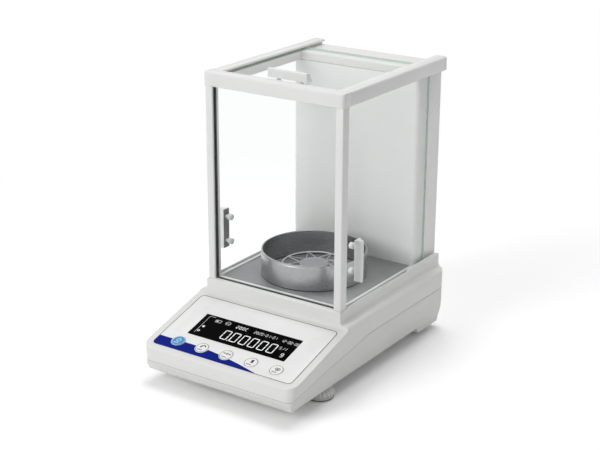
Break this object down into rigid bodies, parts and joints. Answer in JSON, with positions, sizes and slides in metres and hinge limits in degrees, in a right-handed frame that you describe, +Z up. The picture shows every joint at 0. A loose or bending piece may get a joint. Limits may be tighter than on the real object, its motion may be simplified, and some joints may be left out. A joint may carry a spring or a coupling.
{
  "type": "analytical balance",
  "caption": "Laboratory balance with a sloping keypad console, a glass draft chamber with sliding doors, a grid pan inside a wind ring and screw levelling feet.",
  "frame": {"origin": "on the table, under the middle of the housing's outline", "axes": "+X to the operator's right, +Y to the back, +Z up"},
  "size_m": [0.215, 0.344, 0.3585],
  "materials": {
    "housing": "fine-textured moulded white-grey",
    "housing_metal": "powder-coated white-grey",
    "frame_white": "white enamel on aluminium extrusion",
    "screw_steel": "zinc-plated",
    "brass": "machined",
    "rubber": "matt",
    "overlay": "printed film",
    "window": "smoked gloss",
    "electronics": "solder mask",
    "switch": "matt",
    "floor_steel": "fine brushed",
    "ring_metal": "brushed",
    "pan_steel": "satin",
    "glass": "clear float glass",
    "vial": "tinted",
    "handle_white": "satin",
    "knob_white": "translucent satin",
    "cell_metal": "machined",
    "magnet_steel": "machined",
    "copper": "enamelled wire",
    "key_blue": "satin",
    "key_white": "satin",
    "socket_black": "matt",
    "socket_metal": "tinned",
    "foot_plastic": "moulded grey"
  },
  "bodies": {
    "base": {"upper_housing": "housing", "lower_housing": "housing_metal", "housing_screws": "screw_steel", "foot_nuts": "brass", "rear_feet": "rubber", "keypad_overlay": "overlay", "display_window": "window", "display_module": "electronics", "key_board": "electronics", "key_switches": "switch", "floor_plate": "floor_steel", "draft_collar": "cell_metal", "level_body": "switch", "level_vial": "vial", "front_post_left": "frame_white", "front_post_right": "frame_white", "front_beam": "frame_white", "front_glass": "glass", "front_glass_seals": "rubber", "door_track_left": "frame_white", "door_track_right": "frame_white", "top_rail_left": "frame_white", "top_rail_right": "frame_white", "rear_column": "housing", "rear_cover": "housing", "rear_cover_screws": "screw_steel", "rear_top_plate": "housing", "cell_base": "cell_metal", "cell_guides": "cell_metal", "cell_lever": "cell_metal", "force_coil": "copper", "magnet_pot": "magnet_steel", "position_sensor": "switch", "load_stem": "cell_metal", "main_board": "electronics", "power_jack": "socket_black", "data_port": "socket_metal"},
    "left_door": {"left_door_glass": "glass", "left_door_handle": "handle_white", "left_door_knobs": "knob_white"},
    "right_door": {"right_door_glass": "glass", "right_door_handle": "handle_white", "right_door_knobs": "knob_white"},
    "top_door": {"top_door_glass": "glass", "top_door_handle": "handle_white", "top_door_knobs": "knob_white"},
    "pan": {"weighing_pan": "pan_steel"},
    "ring": {"wind_ring": "ring_metal", "ring_gasket": "rubber"},
    "power_key": {"key_power": "key_blue"},
    "second_key": {"key_2": "key_white"},
    "third_key": {"key_3": "key_white"},
    "fourth_key": {"key_4": "key_white"},
    "fifth_key": {"key_5": "key_white"},
    "left_foot_pad": {"foot_pad_left": "rubber"},
    "right_foot_pad": {"foot_pad_right": "rubber"},
    "left_foot_wheel": {"foot_screw_left": "foot_plastic"},
    "right_foot_wheel": {"foot_screw_right": "foot_plastic"}
  },
  "joints": [
    {"name": "left_door_slide", "type": "slide", "parent": "base", "child": "left_door", "axis": [0, 1, 0], "range_m": [0, 0.13]},
    {"name": "right_door_slide", "type": "slide", "parent": "base", "child": "right_door", "axis": [0, 1, 0], "range_m": [0, 0.13]},
    {"name": "top_door_slide", "type": "slide", "parent": "base", "child": "top_door", "axis": [0, 1, 0], "range_m": [0, 0.12]},
    {"name": "pan_lift", "type": "slide", "parent": "base", "child": "pan", "axis": [0, 0, 1], "range_m": [0, 0.03]},
    {"name": "ring_lift", "type": "slide", "parent": "base", "child": "ring", "axis": [0, 0, 1], "range_m": [0, 0.05]},
    {"name": "power_key_press", "type": "slide", "parent": "base", "child": "power_key", "axis": [0, 0.2656, -0.9641], "range_m": [0, 0.0006], "stiffness_N_per_m": 2000},
    {"name": "second_key_press", "type": "slide", "parent": "base", "child": "second_key", "axis": [0, 0.2656, -0.9641], "range_m": [0, 0.0006], "stiffness_N_per_m": 2000},
    {"name": "third_key_press", "type": "slide", "parent": "base", "child": "third_key", "axis": [0, 0.2656, -0.9641], "range_m": [0, 0.0006], "stiffness_N_per_m": 2000},
    {"name": "fourth_key_press", "type": "slide", "parent": "base", "child": "fourth_key", "axis": [0, 0.2656, -0.9641], "range_m": [0, 0.0006], "stiffness_N_per_m": 2000},
    {"name": "fifth_key_press", "type": "slide", "parent": "base", "child": "fifth_key", "axis": [0, 0.2656, -0.9641], "range_m": [0, 0.0006], "stiffness_N_per_m": 2000},
    {"name": "left_foot_extend", "type": "slide", "parent": "base", "child": "left_foot_pad", "axis": [0, 0, -1], "range_m": [0, 0.005]},
    {"name": "left_foot_turn", "type": "hinge", "parent": "left_foot_pad", "child": "left_foot_wheel", "pos_m": [-0.087, -0.088, 0.0085], "axis": [0, 0, -1], "range_deg": [0, 1800]},
    {"name": "right_foot_extend", "type": "slide", "parent": "base", "child": "right_foot_pad", "axis": [0, 0, -1], "range_m": [0, 0.005]},
    {"name": "right_foot_turn", "type": "hinge", "parent": "right_foot_pad", "child": "right_foot_wheel", "pos_m": [0.087, -0.088, 0.0085], "axis": [0, 0, -1], "range_deg": [0, 1800]}
  ],
  "couplings": [
    {"joint": "left_foot_extend", "follows": "left_foot_turn", "m_per_rad": 0.000159},
    {"joint": "right_foot_extend", "follows": "right_foot_turn", "m_per_rad": 0.000159}
  ]
}
